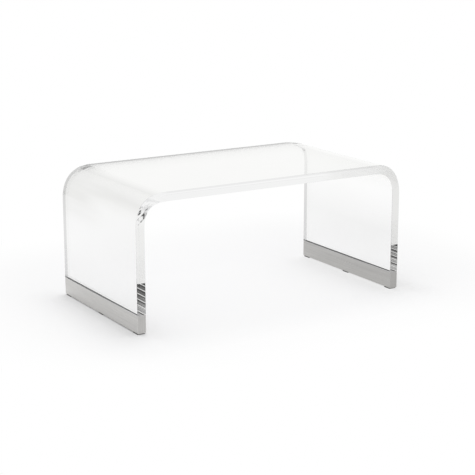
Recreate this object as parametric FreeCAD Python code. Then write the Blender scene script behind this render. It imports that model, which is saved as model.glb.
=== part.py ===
import FreeCAD, Part
import os

# Waterfall coffee table: one thick clear acrylic sheet bent into a wide arch, with
# each foot held in a folded brushed-steel shoe that stands on screw-on floor pads.
# Frame: +X along the length, +Z up, the front faces -Y, origin on the floor under
# the middle of the table. Lengths are in millimetres.

# Overall sizes
table_length = 1016.0
table_depth = 533.0
table_height = 445.0

# Acrylic sheet
acrylic_thickness = 30.0
bend_inner_radius = 63.5
eased_edge_radius = 1.6

# Folded shoe around each foot
shoe_height = 58.0
shoe_inset = 0.25
shoe_sheet_thickness = 1.5
shoe_fold_inner_radius = 0.8
bond_thickness = 0.5
shoulder_clearance = 0.2

# Floor pads
pad_thickness = 3.0
pad_length = 32.0
pad_width = 27.0
pad_corner_radius = 3.0
pad_eased_edge = 0.5
pad_end_setback = 3.0

# Screws and threaded inserts
screw_length = 16.0
screw_shank_diameter = 5.0
screw_head_diameter = 9.2
screw_head_height = 2.4
screw_head_recess = 0.4
screw_socket_diameter = 3.4
screw_socket_depth = 1.3
screw_socket_sides = 6
screw_hole_clearance = 0.25
screw_thread_clearance = 0.05
insert_diameter = 7.0
insert_length = 12.0
insert_hole_spare_depth = 1.5

# How far a cut runs past the face that it opens, and how far a joined solid runs in
overrun = 2.0

# Derived sizes
bend_outer_radius = bend_inner_radius + acrylic_thickness
shoe_bottom_z = pad_thickness
shoe_top_z = shoe_bottom_z + shoe_height
shoe_width = acrylic_thickness - 2 * shoe_inset
shoe_depth = table_depth - 2 * shoe_inset
cavity_bottom_z = shoe_bottom_z + shoe_sheet_thickness
cavity_width = shoe_width - 2 * shoe_sheet_thickness
cavity_depth = shoe_depth - 2 * shoe_sheet_thickness
shoe_fold_outer_radius = shoe_fold_inner_radius + shoe_sheet_thickness
tongue_bottom_z = cavity_bottom_z + bond_thickness
tongue_width = cavity_width - 2 * bond_thickness
tongue_depth = cavity_depth - 2 * bond_thickness
tongue_corner_radius = shoe_fold_inner_radius - bond_thickness
shoulder_z = shoe_top_z + shoulder_clearance
foot_middle_x = (table_length - acrylic_thickness) / 2
end_pad_y = shoe_depth / 2 - pad_end_setback - pad_length / 2
screw_shank_radius = screw_shank_diameter / 2
screw_head_radius = screw_head_diameter / 2
screw_hole_radius = screw_shank_radius + screw_hole_clearance
insert_radius = insert_diameter / 2

SIDES = {"left": -foot_middle_x, "right": foot_middle_x}
PAD_PLACES = {"front": -end_pad_y, "middle": 0, "rear": end_pad_y}
END_PLACES = {"front": -1, "rear": 1}

UP = FreeCAD.Vector(0, 0, 1)


def vec(x, y, z):
    return FreeCAD.Vector(x, y, z)


def round_bar(x, y, bottom_z, radius, height):
    return Part.makeCylinder(radius, height, vec(x, y, bottom_z), UP)


def cone(x, y, bottom_z, bottom_radius, top_radius, height):
    return Part.makeCone(bottom_radius, top_radius, height, vec(x, y, bottom_z), UP)


def trough_block(x, width, y_low, y_high, bottom_z, top_z, corner_radius):
    """A bar along Y whose two lower long edges are rounded, as a folded sheet's are."""
    size = vec(width, y_high - y_low, top_z - bottom_z)
    block = Part.makeBox(size.x, size.y, size.z, vec(x - width / 2, y_low, bottom_z))
    lower_edges = [
        edge for edge in block.Edges
        if edge.BoundBox.YLength > size.y / 2 and edge.CenterOfMass.z < bottom_z + size.z / 2
    ]
    return block.makeFillet(corner_radius, lower_edges)


def half_arch(side):
    """Corner points and bend mid-points of the sheet's outline on one side, foot upwards."""
    half_length = side * table_length / 2
    bend_x = half_length - side * bend_outer_radius
    bend_z = table_height - bend_outer_radius
    diagonal_share = 0.5 ** 0.5
    outline = {}
    for name, radius in (("outer", bend_outer_radius), ("inner", bend_inner_radius)):
        face_x = bend_x + side * radius
        reach = radius * diagonal_share
        outline[name] = (
            vec(face_x, 0, shoulder_z),
            vec(face_x, 0, bend_z),
            vec(bend_x + side * reach, 0, bend_z + reach),
            vec(bend_x, 0, bend_z + radius),
        )
    return outline


def arch_face():
    left, right = half_arch(-1), half_arch(1)
    edges = []
    for name in ("outer", "inner"):
        for foot, bend_start, bend_middle, bend_end in (left[name], right[name]):
            edges.append(Part.makeLine(foot, bend_start))
            edges.append(Part.Arc(bend_start, bend_middle, bend_end).toShape())
        edges.append(Part.makeLine(left[name][-1], right[name][-1]))
    for half in (left, right):
        edges.append(Part.makeLine(half["outer"][0], half["inner"][0]))
    return Part.Face(Part.Wire(Part.__sortEdges__(edges)))


def bent_sheet():
    """The arch with its polished front and rear outlines eased all the way round both bends."""
    face = arch_face()
    face.translate(vec(0, -table_depth / 2, 0))
    sheet = face.extrude(vec(0, table_depth, 0))
    outline_edges = [
        edge for edge in sheet.Edges
        if edge.BoundBox.YLength < overrun and edge.CenterOfMass.z > shoulder_z + overrun
    ]
    return sheet.makeFillet(eased_edge_radius, outline_edges)


def acrylic_sheet():
    sheet = bent_sheet()
    for x in SIDES.values():
        tongue = trough_block(
            x, tongue_width, -tongue_depth / 2, tongue_depth / 2,
            tongue_bottom_z, shoulder_z + overrun, tongue_corner_radius,
        )
        sheet = sheet.fuse(tongue)
    sheet = sheet.removeSplitter()
    hole_depth = insert_length + insert_hole_spare_depth
    for x in SIDES.values():
        for y in PAD_PLACES.values():
            hole = round_bar(x, y, tongue_bottom_z - overrun, insert_radius, hole_depth + overrun)
            sheet = sheet.cut(hole)
    return sheet


def cavity(x, depth, top_z):
    return trough_block(
        x, cavity_width, -depth / 2, depth / 2, cavity_bottom_z, top_z, shoe_fold_inner_radius,
    )


def shoe_channel(x):
    outside = trough_block(
        x, shoe_width, -shoe_depth / 2, shoe_depth / 2,
        shoe_bottom_z, shoe_top_z, shoe_fold_outer_radius,
    )
    channel = outside.cut(cavity(x, shoe_depth + 2 * overrun, shoe_top_z + overrun))
    for y in PAD_PLACES.values():
        hole_height = shoe_sheet_thickness + 2 * overrun
        channel = channel.cut(round_bar(x, y, shoe_bottom_z - overrun, screw_hole_radius, hole_height))
    return channel


def end_plate(x, side):
    """The plate welded into one open end of the channel and ground flush with it."""
    near_y = side * cavity_depth / 2
    far_y = side * shoe_depth / 2
    return trough_block(
        x, cavity_width, min(near_y, far_y), max(near_y, far_y),
        cavity_bottom_z, shoe_top_z, shoe_fold_inner_radius,
    )


def bond_liner(x):
    """The adhesive bed between a foot of the sheet and its shoe."""
    liner = cavity(x, cavity_depth, shoe_top_z).cut(trough_block(
        x, tongue_width, -tongue_depth / 2, tongue_depth / 2,
        tongue_bottom_z, shoe_top_z + overrun, tongue_corner_radius,
    ))
    for y in PAD_PLACES.values():
        hole_height = bond_thickness + 2 * overrun
        liner = liner.cut(round_bar(x, y, cavity_bottom_z - overrun, insert_radius, hole_height))
    return liner


def threaded_insert(x, y):
    body = round_bar(x, y, tongue_bottom_z, insert_radius, insert_length)
    bore_radius = screw_shank_radius + screw_thread_clearance
    return body.cut(round_bar(x, y, tongue_bottom_z - overrun, bore_radius, insert_length + 2 * overrun))


def pad_screw(x, y):
    """A countersunk socket screw, head down, that holds a pad and a shoe to the sheet."""
    head = cone(x, y, screw_head_recess, screw_head_radius, screw_shank_radius, screw_head_height)
    shank = round_bar(x, y, screw_head_recess, screw_shank_radius, screw_length)
    socket_radius = screw_socket_diameter / 2
    corner = vec(x + socket_radius, y, screw_head_recess - overrun)
    socket_corners = [corner]
    for turn in range(screw_socket_sides):
        corner = FreeCAD.Rotation(UP, 360 / screw_socket_sides).multVec(corner - vec(x, y, 0)) + vec(x, y, 0)
        socket_corners.append(corner)
    socket_corners[-1] = socket_corners[0]
    socket = Part.Face(Part.makePolygon(socket_corners)).extrude(vec(0, 0, screw_socket_depth + overrun))
    return head.fuse(shank).removeSplitter().cut(socket)


def floor_pad(x, y):
    corner = vec(x - pad_width / 2, y - pad_length / 2, 0)
    pad = Part.makeBox(pad_width, pad_length, pad_thickness, corner)
    upright_edges = [edge for edge in pad.Edges if edge.BoundBox.ZLength > pad_thickness / 2]
    pad = pad.makeFillet(pad_corner_radius, upright_edges)
    lower_edges = [edge for edge in pad.Edges if edge.BoundBox.ZMax < pad_thickness / 2]
    pad = pad.makeChamfer(pad_eased_edge, lower_edges)
    mouth_radius = screw_head_radius + screw_hole_clearance
    mouth = round_bar(x, y, -overrun, mouth_radius, screw_head_recess + overrun)
    sink = cone(x, y, screw_head_recess, mouth_radius, screw_hole_radius, screw_head_height)
    hole = round_bar(x, y, -overrun, screw_hole_radius, pad_thickness + 2 * overrun)
    return pad.cut(mouth).cut(sink).cut(hole)


def build():
    nodes = {"acrylic_sheet": acrylic_sheet()}
    for side, x in SIDES.items():
        nodes[side + "_shoe_channel"] = shoe_channel(x)
        for end, end_side in END_PLACES.items():
            nodes[side + "_" + end + "_end_plate"] = end_plate(x, end_side)
        nodes[side + "_bond_liner"] = bond_liner(x)
        nodes[side + "_threaded_inserts"] = Part.makeCompound([threaded_insert(x, y) for y in PAD_PLACES.values()])
        nodes[side + "_pad_screws"] = Part.makeCompound([pad_screw(x, y) for y in PAD_PLACES.values()])
        for place, y in PAD_PLACES.items():
            nodes[side + "_" + place + "_floor_pad"] = floor_pad(x, y)
    return nodes


os.makedirs("parts", exist_ok=True)
for node, shape in build().items():
    shape.exportStep("parts/" + node + ".step")
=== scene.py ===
import math

import bpy
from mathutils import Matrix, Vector


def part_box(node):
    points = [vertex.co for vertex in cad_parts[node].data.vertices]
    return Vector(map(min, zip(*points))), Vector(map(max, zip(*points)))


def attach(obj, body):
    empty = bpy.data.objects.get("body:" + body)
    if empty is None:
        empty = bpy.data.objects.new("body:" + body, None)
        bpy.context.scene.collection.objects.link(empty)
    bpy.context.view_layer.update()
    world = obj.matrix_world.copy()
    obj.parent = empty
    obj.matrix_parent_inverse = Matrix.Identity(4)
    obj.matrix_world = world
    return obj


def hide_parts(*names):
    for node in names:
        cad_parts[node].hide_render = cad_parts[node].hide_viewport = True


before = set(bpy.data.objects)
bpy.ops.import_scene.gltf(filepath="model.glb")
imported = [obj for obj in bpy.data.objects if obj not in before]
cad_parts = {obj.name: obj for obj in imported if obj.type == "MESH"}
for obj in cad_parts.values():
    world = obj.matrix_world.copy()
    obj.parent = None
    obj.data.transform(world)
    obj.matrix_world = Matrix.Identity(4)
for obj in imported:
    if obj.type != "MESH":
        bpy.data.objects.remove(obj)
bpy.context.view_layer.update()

# Waterfall coffee table: a clear bent acrylic sheet in two brushed-steel shoes.
# Lengths are in metres, in the frame of the solids: +X along the table, +Z up, front to -Y.

MM = 0.001

# Places taken from the solids
sheet_low, sheet_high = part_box("acrylic_sheet")
shoe_low, shoe_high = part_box("left_shoe_channel")
bed_low, bed_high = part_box("left_bond_liner")
table_length = sheet_high.x - sheet_low.x
table_depth = sheet_high.y - sheet_low.y
table_height = sheet_high.z
shoe_half_width = (shoe_high.x - shoe_low.x) / 2
foot_middle_x = shoe_half_width - shoe_high.x
shoe_top = shoe_high.z

# The sheet's shape
sheet_thickness = 30 * MM
bend_inner_radius = 63.5 * MM
bend_steps = 96
bend_draw = 2.5 * MM
eased_edge = 0.7 * MM
eased_edge_steps = 4
shoulder_gap = 0.2 * MM
shoulder_step = 0.01 * MM
bond_thickness = 0.5 * MM
bond_wetting = 0.1 * MM
merge_distance = 0.002 * MM
smallest_square = MM ** 2
crisp_angle = math.radians(4)

# The sheet's clearness: the share of light that a place passes
acrylic_ior = 1.49
top_clearness = 0.958
# Painted shade: the top's rear, each leg's own grey and its band
top_rear_shade_clearness = 0.89
leg_side_shade_clearness = {"left": 0.957, "right": 0.99}
leg_shade_band_clearness = {"left": 0.935, "right": 0.91}
# Painted shade on the ends and the eased edges
end_shade_clearness = 0.975
edge_shade_clearness = 0.85
# Painted shade in the left bend
bend_shade_clearness = 0.82
scuff_clearness = 0.80
# Painted shade: the fine grey line under the top's front rim
rim_shade_clearness = 0.78
# Painted shade on rays that graze the ends inside the legs and the top
graze_shade_leg_clearness = 0.76
graze_shade_top_clearness = 0.42
lamp_clearness = 0.98
depth_colour = (0.88, 0.883, 0.88, 1)
depth_density = 0.5
# How far under the top the painted rim shade reaches
rim_shade_depth = 6.5 * MM

# Where the sheet is less than clear: painted shade on the top's rear, the legs and the left bend,
# and scuffs on the legs' ends
# Where the painted shade on the top's rear and the legs' bands lies
top_rear_shade_start, top_rear_shade_fade = 100 * MM, 166 * MM
leg_shade_band_height = {"left": 320 * MM, "right": 200 * MM}
leg_shade_band_reach = 135 * MM
end_facing, end_facing_run = 0.8, 0.15
bend_zone = 112 * MM
bend_fade = 25 * MM
bend_sharpness = 6
# Painted shade in the left bend: how strongly it shows from front to rear, its streaks and its
# share
bend_shade_front, bend_shade_rear = 7, 13
shade_streak_start = 0.05
shade_streak_contrast = 2.5
least_shade_streak = 0.25
bend_shade_share, haze_share = 0.8, 0.2
# Painted shade reaching down the back of the left leg
droop_low = 265 * MM
droop_rise = 95 * MM
droop_front = -60 * MM
droop_run = 200 * MM
scuff_zone = 105 * MM
scuff_fade = 55 * MM
scuff_amount = {"left": 0.54, "right": 0.88}

# The sheet's surface
rub_start = 0.62
rub_roughness = 0.10
edge_roughness = 0.03
ripple_share = 0.08
crumple_depth = 0.9 * MM

# Painted shade inside the sheet's ends, and the thin grey line of the top's eased edges
graze_start, graze_run = 0.2, 0.2
edge_shade_share = 0.15
least_edge = 0.05
top_facing = 0.3

# Crazing in the front ends of the bends, with its flecks' cells per metre
craze_height = 382 * MM
craze_reach = 52 * MM
craze_shift = 17 * MM
craze_lift = 10 * MM
craze_amount = {"left": 1.0, "right": 0.5}
fleck_cells_out, fleck_cells_deep, fleck_cells_in = 85, 100, 30
fleck_share, craze_share = 0.75, 0.24
craze_start, craze_run = 0.575, 0.08

# The painted shadow gap at the top of the adhesive bed, and the bed's painted shade towards the
# rear
gap_shadow_depth = 7 * MM
front_gap_shadow_depth = 4 * MM
rear_shade_run = 360 * MM
rear_shade_amount = {"left": 1.0, "right": 0.4}

# The steel's brightness, its streaks and its polish
# Painted shade: the right rail and plates are made darker than the left
rail_side_shade_tone = {"left": 0.633, "right": 0.513}
plate_side_shade_tone = {"left": 0.54, "right": 0.43}
steel_warmth = 0.024
dark_streak, bright_streak = 0.82, 1.14
# Grain and band contrast, and painted light towards the floor
grain_contrast, band_contrast, low_light_contrast = 0.75, 0.8, 0.3
steel_roughness, smoothest_steel = 0.30, 0.12
grain_roughness, smudge_roughness = 0.22, 0.14
grain_depth = 0.02 * MM
grain_strength = 0.55

# The floor's shaded patch around the table, which lies a little to the back and the right
floor_reach = 60.0
floor_paint = 0.91
patch_x, patch_y = 100 * MM, 160 * MM
patch_half_length = 435 * MM
patch_half_depth = 170 * MM
patch_fade = 735 * MM
footing_fade = 350 * MM
# Painted light beside and under the rails, more on the right
seam_reach = 90 * MM
painted_seam_light = {"left": 0.26, "right": 0.58}
painted_under_light = {"left": 0.08, "right": 0.58}

# Lamps and camera, with angles in radians unless named otherwise
sun_direction = (0.15, 0.4, 1.0)
sun_spread_degrees = 60
sun_strength = 0.72
box_place = (0.0, 0.0, 2.0)
box_width, box_depth = 1.5, 1.1
box_power = 11.2
overhead_grey = (0.55, 0.55, 0.56, 1)
overhead_start, overhead_run = 0.15, 0.75
camera_grey = 0.4
camera_grey_start, camera_grey_run = 0.3, 0.2
camera_side_start, camera_side_run = 0.1, 0.3
camera_azimuth, camera_elevation = -0.55166, 0.24405
camera_distance = 4.72705
camera_target = (0.02067, 0, 0.18846)
camera_sensor_mm = 36.0
camera_lens_mm = 104.28

# Steps that light may take
inside_bounces = 48
glossy_bounces = 40
passing_bounces = 32

SIDES = ("left", "right")
PAD_PLACES = ("front", "middle", "rear")
END_PLACES = ("front", "rear")


class Sock:
    """A node's output that can be used in sums; each step adds one Math node."""

    def __init__(self, tree, socket):
        self.tree = tree
        self.socket = socket

    def step(self, operation, first, second=0.0):
        return self.tree.node("ShaderNodeMath", {"operation": operation}, {0: first, 1: second})

    def __add__(self, other):
        return self.step("ADD", self, other)

    def __radd__(self, other):
        return self.step("ADD", other, self)

    def __sub__(self, other):
        return self.step("SUBTRACT", self, other)

    def __rsub__(self, other):
        return self.step("SUBTRACT", other, self)

    def __mul__(self, other):
        return self.step("MULTIPLY", self, other)

    def __rmul__(self, other):
        return self.step("MULTIPLY", other, self)

    def __truediv__(self, other):
        return self.step("DIVIDE", self, other)

    def __pow__(self, other):
        return self.step("POWER", self, other)

    def __lt__(self, other):
        return self.step("LESS_THAN", self, other)

    def __gt__(self, other):
        return self.step("GREATER_THAN", self, other)

    def sign(self):
        return self.step("SIGN", self)

    def size(self):
        return self.step("ABSOLUTE", self)

    def at_least(self, other):
        return self.step("MAXIMUM", self, other)

    def at_most(self, other):
        return self.step("MINIMUM", self, other)

    def rise(self, start, length):
        """Goes from 0 at the start to 1 that much further on."""
        return ((self - start) / length).at_least(0.0).at_most(1.0)

    def by_side(self, amounts):
        """For an X coordinate: the amount for the side of the table it is on."""
        return (self < 0.0) * amounts["left"] + (self > 0.0) * amounts["right"]


class Tree:
    """A node tree with one method that makes a node, sets it and links it."""

    def __init__(self, tree):
        self.tree = tree

    def node(self, kind, settings=None, values=None, out=0):
        made = self.tree.nodes.new(kind)
        for name, value in (settings or {}).items():
            setattr(made, name, value)
        for name, value in (values or {}).items():
            if isinstance(value, Sock):
                self.tree.links.new(value.socket, made.inputs[name])
            else:
                made.inputs[name].default_value = value
        return Sock(self, made.outputs[out] if len(made.outputs) else None)

    def vector(self, x, y, z):
        return self.node("ShaderNodeCombineXYZ", None, {"X": x, "Y": y, "Z": z})

    def axes(self, vector):
        parts = self.node("ShaderNodeSeparateXYZ", None, {"Vector": vector})
        return [Sock(self, output) for output in parts.socket.node.outputs]

    def place(self):
        return self.node("ShaderNodeTexCoord", out="Object")

    def noise(self, vector, detail, roughness=0.5):
        return self.node("ShaderNodeTexNoise", None, {
            "Vector": vector, "Scale": 1.0, "Detail": detail, "Roughness": roughness,
        })

    def pattern(self, cells, detail, roughness=0.5):
        """Noise in object space, with its cells per metre along each axis."""
        stretched = self.node("ShaderNodeVectorMath", {"operation": "MULTIPLY"}, {
            0: self.place(), 1: cells,
        })
        return self.noise(stretched, detail, roughness)

    def blend(self, factor, first, second):
        return self.node("ShaderNodeMix", {"data_type": "RGBA"}, {
            0: factor, 6: first, 7: second,
        }, out=2)

    def bump(self, height, distance, strength=1.0):
        return self.node("ShaderNodeBump", None, {
            "Height": height, "Distance": distance, "Strength": strength,
        })

    def rays(self, *kinds):
        """1 for rays of those kinds, else 0."""
        flags = self.node("ShaderNodeLightPath").socket.node.outputs
        found = Sock(self, flags[kinds[0]])
        for kind in kinds[1:]:
            found = found.at_least(Sock(self, flags[kind]))
        return found

    def principled(self, **values):
        return self.node("ShaderNodeBsdfPrincipled", None, {
            name.replace("_", " ").title().replace("Ior", "IOR"): value
            for name, value in values.items()
        })

    def passing(self, colour):
        return self.node("ShaderNodeBsdfTransparent", None, {"Color": colour})

    def mixed(self, factor, first, second):
        return self.node("ShaderNodeMixShader", None, {0: factor, 1: first, 2: second})


def rgb(value, warmth=0.0):
    """A grey of that brightness, a little warm or cool."""
    return (value * (1 + warmth / 2), value, value * (1 - warmth), 1.0)


def tint(value):
    """Clear plastic's faint straw colour."""
    straw = 0.985
    return (value, value, value * straw, 1.0)


def new_material(name):
    material = bpy.data.materials.new(name)
    material.use_nodes = True
    material.node_tree.nodes.clear()
    return material, Tree(material.node_tree)


def finish_material(tree, surface, **others):
    tree.node("ShaderNodeOutputMaterial", None, {"Surface": surface, **others})


# Finishes

def clear_acrylic():
    material, tree = new_material("clear_acrylic")
    x, y, z = tree.axes(tree.place())
    across, along, upward = tree.axes(tree.node("ShaderNodeTexCoord", out="Normal"))
    left, front = x < 0.0, y < 0.0
    bend_x = x.size().rise(table_length / 2 - bend_zone, bend_fade)
    bend_z = z.rise(table_height - bend_zone, bend_fade)
    # Painted shade: the ends are made less clear than the faces, and their eased edges less still
    lean = along * along
    end = lean.rise(end_facing, end_facing_run)
    edge = (4 * lean * (1 - lean)).at_most(1.0)
    # Fine rubbing from use, the slight waviness of a cast sheet and its crumpled left bend
    haze = tree.pattern((9, 9, 9), 3.0)
    rub = tree.pattern((160, 38, 160), 4.0, 0.6)
    rubbed = (rub - rub_start).at_least(0.0) * haze * rub_roughness
    ripple = tree.pattern((7, 5, 7), 1.0)
    crumple = tree.pattern((150, 150, 150), 2.0) * bend_x * bend_z * end * left
    skin = tree.bump(ripple * ripple_share + crumple, crumple_depth)
    # Painted shade for what the bend reflects: the left bend is greyer than the flats, in streaks,
    # down to the back of its leg
    shade_streaks = tree.pattern((36, 2.2, 36), 1.2)
    bend_shade_gain = y.rise(-table_depth / 2, table_depth)
    bend_shade_gain = bend_shade_gain * (bend_shade_rear - bend_shade_front) + bend_shade_front
    bent = (across ** bend_sharpness * upward * upward * bend_shade_gain).at_most(1.0)
    droop = z.rise(droop_low, droop_rise) * y.rise(droop_front, droop_run)
    painted_bend_shade = bent.at_least(droop * across * across)
    painted_bend_shade = painted_bend_shade * ((shade_streaks - shade_streak_start) * shade_streak_contrast).at_least(least_shade_streak) * left
    # The legs' ends are scuffed, more so on the right, where it reaches into the bend
    right_bend = x.rise(table_length / 2 - scuff_zone, scuff_fade)
    scuff = end * (1 - bend_z).at_least(right_bend) * x.by_side(scuff_amount)
    # Painted shade: a fine grey line under the flat top's front rim
    rim_shade_line = z.rise(table_height - rim_shade_depth, 1 * MM) * end * (1 - bend_x) * front
    # Painted shade: each leg has its own grey and a soft grey band across it, and the top is greyer
    # towards the rear
    from_shade_band = (z - x.by_side(leg_shade_band_height)).size() / leg_shade_band_reach
    leg_side_shade, leg_band_shade = (
        tree.blend(left, rgb(clearness["right"]), rgb(clearness["left"]))
        for clearness in (leg_side_shade_clearness, leg_shade_band_clearness)
    )
    leg_shaded_face = tree.blend((1 - from_shade_band).at_least(0.0), leg_side_shade, leg_band_shade)
    rear = y.rise(top_rear_shade_start, top_rear_shade_fade)
    top_rear_shaded_face = tree.blend(rear, tint(top_clearness), tint(top_rear_shade_clearness))
    shaded_face = tree.blend(upward.size(), leg_shaded_face, top_rear_shaded_face)
    # Painted shade on the faces, ends, left bend and front rim, mixed with haze and scuffs
    wear_and_shade = tree.blend(end, shaded_face, rgb(end_shade_clearness))
    # Painted shade in the left bend, mixed with random haze
    shade_and_haze = painted_bend_shade * bend_shade_share + haze * haze_share
    wear_and_shade = tree.blend(shade_and_haze, wear_and_shade, tint(bend_shade_clearness))
    wear_and_shade = tree.blend(scuff, wear_and_shade, tint(scuff_clearness))
    wear_and_shade = tree.blend(rim_shade_line, wear_and_shade, rgb(rim_shade_clearness))
    glass = tree.principled(
        base_color=tree.blend(edge, wear_and_shade, tint(edge_shade_clearness)),
        roughness=rubbed + edge * edge_roughness,
        ior=acrylic_ior,
        transmission_weight=1.0,
        normal=skin,
    )
    # Painted shade: inside, rays that graze the ends are darkened more than rays that leave through
    # them
    graze_shade_leg, graze_shade_top = (
        tree.node("ShaderNodeBsdfGlass", None, {
            "Color": rgb(clearness), "Roughness": 0.0, "IOR": acrylic_ior, "Normal": skin,
        })
        for clearness in (graze_shade_leg_clearness, graze_shade_top_clearness)
    )
    graze_shade_glass = tree.mixed(bend_x, graze_shade_top, graze_shade_leg)
    inside = tree.node("ShaderNodeNewGeometry", out="Backfacing")
    slant = tree.node("ShaderNodeLayerWeight", None, {"Blend": 0.5}, out="Facing")
    grazing = end * slant.rise(graze_start, graze_run) + edge * edge_shade_share
    graze_shaded = inside * grazing.at_most(1.0)
    glass = tree.mixed(graze_shaded, glass, graze_shade_glass)
    # Painted shade: the top's eased edges are too fine to show what they bend, so they pass light
    # as a thin grey line
    top_edge = (edge > least_edge) * (upward.size() > top_facing)
    glass = tree.mixed(top_edge, glass, tree.passing(rgb(edge_shade_clearness)))
    # Fine crazing where the front ends of the bends were stretched most
    low_bend = (1 - ((z - craze_height) / craze_reach).size()).at_least(0.0) * bend_x * front
    low_bend = low_bend * x.by_side(craze_amount)
    lifted = z - craze_lift
    fleck = tree.noise(tree.vector(
        (lifted + x.size()) * fleck_cells_out,
        (y + craze_shift) * fleck_cells_deep,
        (lifted - x.size()) * fleck_cells_in,
    ), 3.0, 0.6)
    craze = (fleck * fleck_share + low_bend * craze_share).rise(craze_start, craze_run)
    craze = craze * low_bend.sign() * end
    film = tree.principled(
        base_color=tree.blend(haze, rgb(0.03), rgb(0.08)),
        roughness=0.5 + rub * 0.2,
        normal=skin,
    )
    glass = tree.mixed(craze, glass, film)
    # Lamps pass straight through, less so at a slant, where more light glances off
    lamp_ray = tree.rays("Is Shadow Ray", "Is Diffuse Ray")
    lamp_ray = lamp_ray * (1 - slant * slant * (1 - inside))
    surface = tree.mixed(lamp_ray, glass, tree.passing(rgb(lamp_clearness)))
    depth = tree.node("ShaderNodeVolumeAbsorption", None, {
        "Color": depth_colour, "Density": depth_density,
    })
    finish_material(tree, surface, Volume=depth)
    return material


def brushed_steel(name, along, tone):
    """Satin metal with grain along one axis and handling haze, painted lighter towards the floor.
    """
    material, tree = new_material(name)
    grain_cells = {"Y": (1500, 5, 1500), "Z": (1500, 1500, 9)}[along]
    band_cells = {"Y": (260, 2.2, 260), "Z": (260, 260, 4)}[along]
    grain = tree.pattern(grain_cells, 3.0, 0.65)
    bands = tree.pattern(band_cells, 2.0)
    smudge = tree.pattern((14, 8, 14), 3.0)
    # Painted light: brighter towards the floor
    height = tree.axes(tree.place())[2] / shoe_top
    streak = (grain - 0.5) * grain_contrast + (bands - 0.5) * band_contrast
    streak = streak + (0.5 - height) * low_light_contrast + 0.5
    dark, bright = (rgb(tone * share, steel_warmth) for share in (dark_streak, bright_streak))
    satin = steel_roughness + (grain - 0.5) * grain_roughness
    satin = satin + (smudge - 0.5) * smudge_roughness
    steel = tree.principled(
        base_color=tree.blend(streak, dark, bright),
        metallic=1.0,
        roughness=satin.at_least(smoothest_steel),
        normal=tree.bump(grain * 0.7 + bands * 0.3, grain_depth, grain_strength),
    )
    finish_material(tree, steel)
    return material


def bond_adhesive():
    material, tree = new_material("bond_adhesive")
    cells = tree.pattern((900, 900, 900), 3.0)
    lay = tree.pattern((60, 20, 60), 2.0)
    # Painted shadow: a dark band along the rim stands in for the shadow gap at the top of the shoe,
    # thinner towards the front, above a bed painted paler towards the front as painted light,
    # darker towards the rear more so on the left
    x, y, z = tree.axes(tree.place())
    back = y.rise(-table_depth / 2, rear_shade_run)
    rear_shade = back * back * x.by_side(rear_shade_amount)
    right_wall = (x - x.sign() * foot_middle_x) > 0.0
    right_gap_shadow_depth = back * (gap_shadow_depth - front_gap_shadow_depth) + front_gap_shadow_depth
    gap_shadow_depth_here = right_wall * right_gap_shadow_depth + (1 - right_wall) * rear_shade * gap_shadow_depth
    gap_shadow = (z + gap_shadow_depth_here).rise(shoe_top, 1 * MM)
    grey = rgb(0.40, 0.01)
    front_lit_bed = tree.blend(rear_shade, rgb(0.95), grey)
    front_lit_bed = tree.blend(cells * 0.2 + lay * 0.2, front_lit_bed, grey)
    # The painted shadow gap's dark colour
    dark = tree.blend(cells, rgb(0.05), rgb(0.12))
    bed = tree.principled(
        base_color=tree.blend(gap_shadow, front_lit_bed, dark),
        roughness=0.62 + cells * 0.2,
        normal=tree.bump(cells, 0.05 * MM, 0.4),
    )
    finish_material(tree, bed)
    return material


def turned_metal(name, low, high, pitch):
    """Small turned hardware: fine lathe rings across Z with a dull patina."""
    material, tree = new_material(name)
    rings = tree.pattern((40, 40, pitch), 2.0)
    patina = tree.pattern((300, 300, 300), 3.0)
    metal = tree.principled(
        base_color=tree.blend(rings * 0.5 + patina * 0.5, low, high),
        metallic=1.0,
        roughness=0.26 + patina * 0.22,
        normal=tree.bump(rings, 0.05 * MM, 0.5),
    )
    finish_material(tree, metal)
    return material


def pad_rubber():
    material, tree = new_material("pad_rubber")
    nap = tree.pattern((1400, 1400, 1400), 4.0, 0.6)
    dust = tree.pattern((70, 70, 70), 3.0)
    rubber = tree.principled(
        base_color=tree.blend(nap * 0.7 + dust * 0.3, rgb(0.018), rgb(0.055, 0.03)),
        roughness=0.72 + dust * 0.2,
        normal=tree.bump(nap, 0.12 * MM, 0.6),
    )
    finish_material(tree, rubber)
    return material


# The sheet

def bend_run():
    """Steps of a quarter bend that eases in and out, as a hot sheet does, in units of its
    own length: the heading turns from up to level and both ends meet the flats smoothly."""
    x = z = 0.0
    run = [(x, z)]
    for step in range(bend_steps):
        share = (step + 0.5) / bend_steps
        heading = math.pi / 2 * share ** 3 * (10 - 15 * share + 6 * share ** 2)
        x += math.sin(heading) / bend_steps
        z += math.cos(heading) / bend_steps
        run.append((x, z))
    return run


def arch_path():
    """The sheet's middle line from one foot over the top to the other."""
    foot_x = (table_length - sheet_thickness) / 2
    top_z = table_height - sheet_thickness / 2
    foot_z = bed_low.z + bond_thickness - bond_wetting
    shoulder_z = shoe_top + shoulder_gap
    run = bend_run()
    reach, middle = run[-1][1], run[bend_steps // 2]
    # The bend passes the corner at the same distance as a plain round bend
    corner_gap = math.hypot(middle[0], reach - middle[1])
    round_gap = (math.sqrt(2) - 1) * (bend_inner_radius + sheet_thickness / 2)
    length = round_gap / corner_gap
    half = [(foot_x, foot_z), (foot_x, shoulder_z - shoulder_step), (foot_x, shoulder_z)]
    half += [(foot_x - x * length, top_z + (z - reach) * length) for x, z in run]
    points = [(-x, 0, z) for x, z in half] + [(x, 0, z) for x, z in reversed(half)]
    mesh = bpy.data.meshes.new("arch_path")
    mesh.from_pydata(points, [(step, step + 1) for step in range(len(points) - 1)], [])
    return mesh


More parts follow.
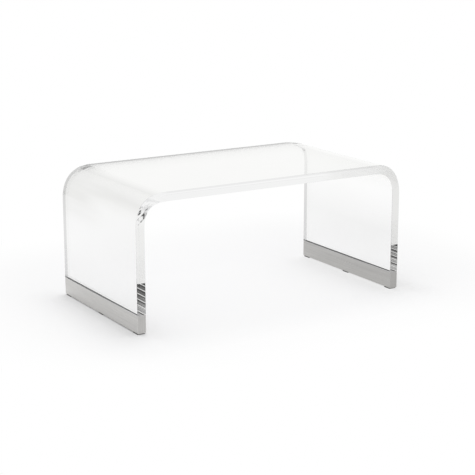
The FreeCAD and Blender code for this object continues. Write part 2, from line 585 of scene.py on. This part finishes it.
def sheet_tree(material):
    """Sweeps the sheet's eased section along its middle line and lets the feet into their shoes."""
    group = bpy.data.node_groups.new("bent_sheet", "GeometryNodeTree")
    sizes = (
        "Thickness", "Depth", "Bend Radius", "Eased Edge", "Shoulder Height", "Foot Width",
        "Foot Depth", "Half Length", "Height", "Bend Draw",
    )
    group.interface.new_socket("Geometry", in_out="INPUT", socket_type="NodeSocketGeometry")
    group.interface.new_socket("Geometry", in_out="OUTPUT", socket_type="NodeSocketGeometry")
    for name in sizes:
        group.interface.new_socket(name, in_out="INPUT", socket_type="NodeSocketFloat")
    tree = Tree(group)
    given = group.nodes.new("NodeGroupInput").outputs
    size = {name: Sock(tree, given[name]) for name in sizes}
    path = tree.node("GeometryNodeMeshToCurve", None, {"Mesh": Sock(tree, given["Geometry"])})
    section = tree.node("GeometryNodeCurvePrimitiveQuadrilateral", None, {
        "Width": size["Thickness"], "Height": size["Depth"],
    })
    eased = tree.node("GeometryNodeFilletCurve", {"mode": "POLY"}, {
        "Curve": section, "Radius": size["Eased Edge"], "Limit Radius": True,
        "Count": eased_edge_steps,
    })
    swept = tree.node("GeometryNodeCurveToMesh", None, {
        "Curve": path, "Profile Curve": eased, "Fill Caps": True,
    })
    merged = tree.node("GeometryNodeMergeByDistance", None, {
        "Geometry": swept, "Distance": merge_distance,
    })
    # Feet: below the shoulder the sheet steps in on all four sides
    x, y, z = tree.axes(tree.node("GeometryNodeInputPosition"))
    foot = z < size["Shoulder Height"] - shoulder_step / 2
    side_x = x.sign() * (size["Half Length"] - size["Thickness"] / 2)
    foot_x = side_x + (x - side_x) * (size["Foot Width"] / size["Thickness"])
    foot_y = y * (size["Foot Depth"] / size["Depth"])
    stepped = tree.node("GeometryNodeSetPosition", None, {
        "Geometry": merged, "Selection": foot, "Position": tree.vector(foot_x, foot_y, z),
    })
    # Bends: the outside of a hot bend draws in a little at both ends
    x, y, z = tree.axes(tree.node("GeometryNodeInputPosition"))
    outer = size["Bend Radius"] + size["Thickness"]
    run = (x.size() - (size["Half Length"] - outer)).at_least(0.0)
    rise = (z - (size["Height"] - outer)).at_least(0.0)
    square = (run * run + rise * rise).at_least(smallest_square)
    turn = run * rise / square * 2.0
    across = (square ** 0.5 - size["Bend Radius"]) / size["Thickness"]
    draw = turn * across.at_least(0.0) * size["Bend Draw"]
    formed = tree.node("GeometryNodeSetPosition", None, {
        "Geometry": stepped, "Offset": tree.vector(0.0, y.sign() * draw * -1.0, 0.0),
    })
    smooth = tree.node("GeometryNodeSetShadeSmooth", {"domain": "FACE"}, {
        "Geometry": formed, "Shade Smooth": True,
    })
    angle = tree.node("GeometryNodeInputMeshEdgeAngle")
    crisp = tree.node("GeometryNodeSetShadeSmooth", {"domain": "EDGE"}, {
        "Geometry": smooth, "Selection": angle > crisp_angle, "Shade Smooth": False,
    })
    single = tree.node("GeometryNodeRealizeInstances", None, {"Geometry": crisp})
    dressed = tree.node("GeometryNodeSetMaterial", None, {
        "Geometry": single, "Material": material,
    })
    tree.node("NodeGroupOutput", None, {"Geometry": dressed})
    return group


def plain_mesh(name, base, group, sizes):
    """Runs a node group over a base mesh and keeps the result as a plain object."""
    maker = bpy.data.objects.new(name + "_maker", base)
    bpy.context.scene.collection.objects.link(maker)
    modifier = maker.modifiers.new(name, "NODES")
    modifier.node_group = group
    for item in group.interface.items_tree:
        if item.in_out == "INPUT" and item.name in sizes:
            modifier[item.identifier] = sizes[item.name]
    depsgraph = bpy.context.evaluated_depsgraph_get()
    mesh = bpy.data.meshes.new_from_object(maker.evaluated_get(depsgraph))
    maker.modifiers.remove(modifier)
    bpy.data.objects.remove(maker)
    piece = bpy.data.objects.new(name, mesh)
    bpy.context.scene.collection.objects.link(piece)
    return piece


def bent_sheet():
    material = clear_acrylic()
    bed_width = bed_high.x - bed_low.x
    bed_depth = bed_high.y - bed_low.y
    foot_step = 2 * (bond_thickness - bond_wetting)
    sheet = plain_mesh("bent_sheet", arch_path(), sheet_tree(material), {
        "Thickness": sheet_thickness,
        "Depth": table_depth,
        "Bend Radius": bend_inner_radius,
        "Eased Edge": eased_edge,
        "Shoulder Height": shoe_top + shoulder_gap,
        "Foot Width": bed_width - foot_step,
        "Foot Depth": bed_depth - foot_step,
        "Half Length": table_length / 2,
        "Height": table_height,
        "Bend Draw": bend_draw,
    })
    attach(sheet, "root")
    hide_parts("acrylic_sheet")


def dress(node, material):
    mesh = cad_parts[node].data
    mesh.materials.clear()
    mesh.materials.append(material)


def dress_solids():
    bed = bond_adhesive()
    brass = turned_metal("insert_brass", (0.42, 0.27, 0.08, 1), (0.68, 0.48, 0.20, 1), 2400)
    screw = turned_metal("screw_steel", rgb(0.30), rgb(0.52), 1800)
    rubber = pad_rubber()
    for side in SIDES:
        # Painted shade: each side's steel gets its own tone, darker on the right
        rail = brushed_steel(side + "_rail_steel_side_shade", "Y", rail_side_shade_tone[side])
        plate = brushed_steel(side + "_plate_steel_side_shade", "Z", plate_side_shade_tone[side])
        dress(side + "_shoe_channel", rail)
        dress(side + "_bond_liner", bed)
        dress(side + "_threaded_inserts", brass)
        dress(side + "_pad_screws", screw)
        for end in END_PLACES:
            dress(side + "_" + end + "_end_plate", plate)
        for place in PAD_PLACES:
            dress(side + "_" + place + "_floor_pad", rubber)


# Studio

def beyond(across, half_length, along, half_depth):
    """The distance from a rectangle on the floor, 0 inside it."""
    beside = (across.size() - half_length).at_least(0.0)
    before = (along.size() - half_depth).at_least(0.0)
    return (beside * beside + before * before) ** 0.5


def floor_white():
    """Plain white away from the table, and real paint with its shadow around it, lifted by painted
    light beside and under the rails.
    """
    material, tree = new_material("floor_white")
    paint = tree.node("ShaderNodeBsdfDiffuse", None, {"Color": rgb(floor_paint)})
    white = tree.node("ShaderNodeEmission", None, {"Color": rgb(1.0), "Strength": 1.0})
    x, y = tree.axes(tree.place())[:2]
    patch = beyond(x - patch_x, patch_half_length, y - patch_y, patch_half_depth) / patch_fade
    footing = beyond(x, table_length / 2, y, table_depth / 2) / footing_fade
    away = patch.at_most(footing).at_most(1.0)
    away = away * away * (3 - away * 2)
    # Painted light: the floor is lifted towards white beside and under the rails, more so on the
    # right
    rail = beyond(x.size() - foot_middle_x, shoe_half_width, y, table_depth / 2)
    painted_seam = (1 - rail / seam_reach).at_least(0.0)
    under = rail < 1 * MM
    light = x.by_side(painted_seam_light) * (1 - under) + x.by_side(painted_under_light) * under
    seen = tree.rays("Is Camera Ray", "Is Glossy Ray", "Is Transmission Ray")
    away = away.at_least(painted_seam * painted_seam * light) * seen
    finish_material(tree, tree.mixed(away, paint, white))
    return material


def studio_floor():
    mesh = bpy.data.meshes.new("floor")
    corners = [
        (-floor_reach, -floor_reach, 0), (floor_reach, -floor_reach, 0),
        (floor_reach, floor_reach, 0), (-floor_reach, floor_reach, 0),
    ]
    mesh.from_pydata(corners, [], [(0, 1, 2, 3)])
    mesh.materials.append(floor_white())
    floor = bpy.data.objects.new("floor", mesh)
    bpy.context.scene.collection.objects.link(floor)


def add_lamp(name, light):
    lamp = bpy.data.objects.new(name, light)
    lamp.visible_transmission = False
    bpy.context.scene.collection.objects.link(lamp)
    return lamp


def soft_sun(name):
    """An even, very soft light from one direction."""
    light = bpy.data.lights.new(name, "SUN")
    light.energy, light.angle = sun_strength, math.radians(sun_spread_degrees)
    lamp = add_lamp(name, light)
    lamp.rotation_euler = Vector(sun_direction).to_track_quat("Z", "Y").to_euler()


def soft_box(name):
    """A wide lamp that hangs over the table and faces down."""
    light = bpy.data.lights.new(name, "AREA")
    light.shape, light.energy = "RECTANGLE", box_power
    light.size, light.size_y = box_width, box_depth
    add_lamp(name, light).location = box_place


def studio_light():
    world = bpy.data.worlds.new("studio")
    bpy.context.scene.world = world
    world.use_nodes = True
    world.node_tree.nodes.clear()
    tree = Tree(world.node_tree)
    back, up = tree.axes(tree.node("ShaderNodeTexCoord", out="Generated"))[1:]
    # White from the floor line up, greyer overhead and dim above the camera
    overhead = up.rise(overhead_start, overhead_run)
    above_camera = up.rise(camera_grey_start, camera_grey_run)
    above_camera = above_camera * (-1 * back).rise(camera_side_start, camera_side_run)
    sky = tree.blend(overhead, rgb(1.0), overhead_grey)
    sky = tree.blend(above_camera, sky, rgb(camera_grey))
    shine = tree.node("ShaderNodeBackground", None, {"Color": sky, "Strength": 1.0})
    tree.node("ShaderNodeOutputWorld", None, {"Surface": shine})
    soft_sun("overhead_light")
    soft_box("table_light")


def camera():
    back = Vector((
        math.sin(camera_azimuth) * math.cos(camera_elevation),
        -math.cos(camera_azimuth) * math.cos(camera_elevation),
        math.sin(camera_elevation),
    ))
    data = bpy.data.cameras.new("camera")
    data.sensor_width = camera_sensor_mm
    data.lens = camera_lens_mm
    view = bpy.data.objects.new("camera", data)
    view.location = Vector(camera_target) + back * camera_distance
    view.rotation_euler = (-back).to_track_quat("-Z", "Y").to_euler()
    bpy.context.scene.collection.objects.link(view)
    bpy.context.scene.camera = view


def light_paths():
    """Enough steps for light to bounce along inside the sheet, and none cut short by chance."""
    cycles = bpy.context.scene.cycles
    cycles.max_bounces = inside_bounces
    cycles.min_light_bounces = inside_bounces
    cycles.transmission_bounces = inside_bounces
    cycles.glossy_bounces = glossy_bounces
    cycles.transparent_max_bounces = passing_bounces
    cycles.min_transparent_bounces = passing_bounces


bent_sheet()
dress_solids()
studio_floor()
studio_light()
camera()
light_paths()
bpy.context.scene.view_settings.view_transform = "Standard"
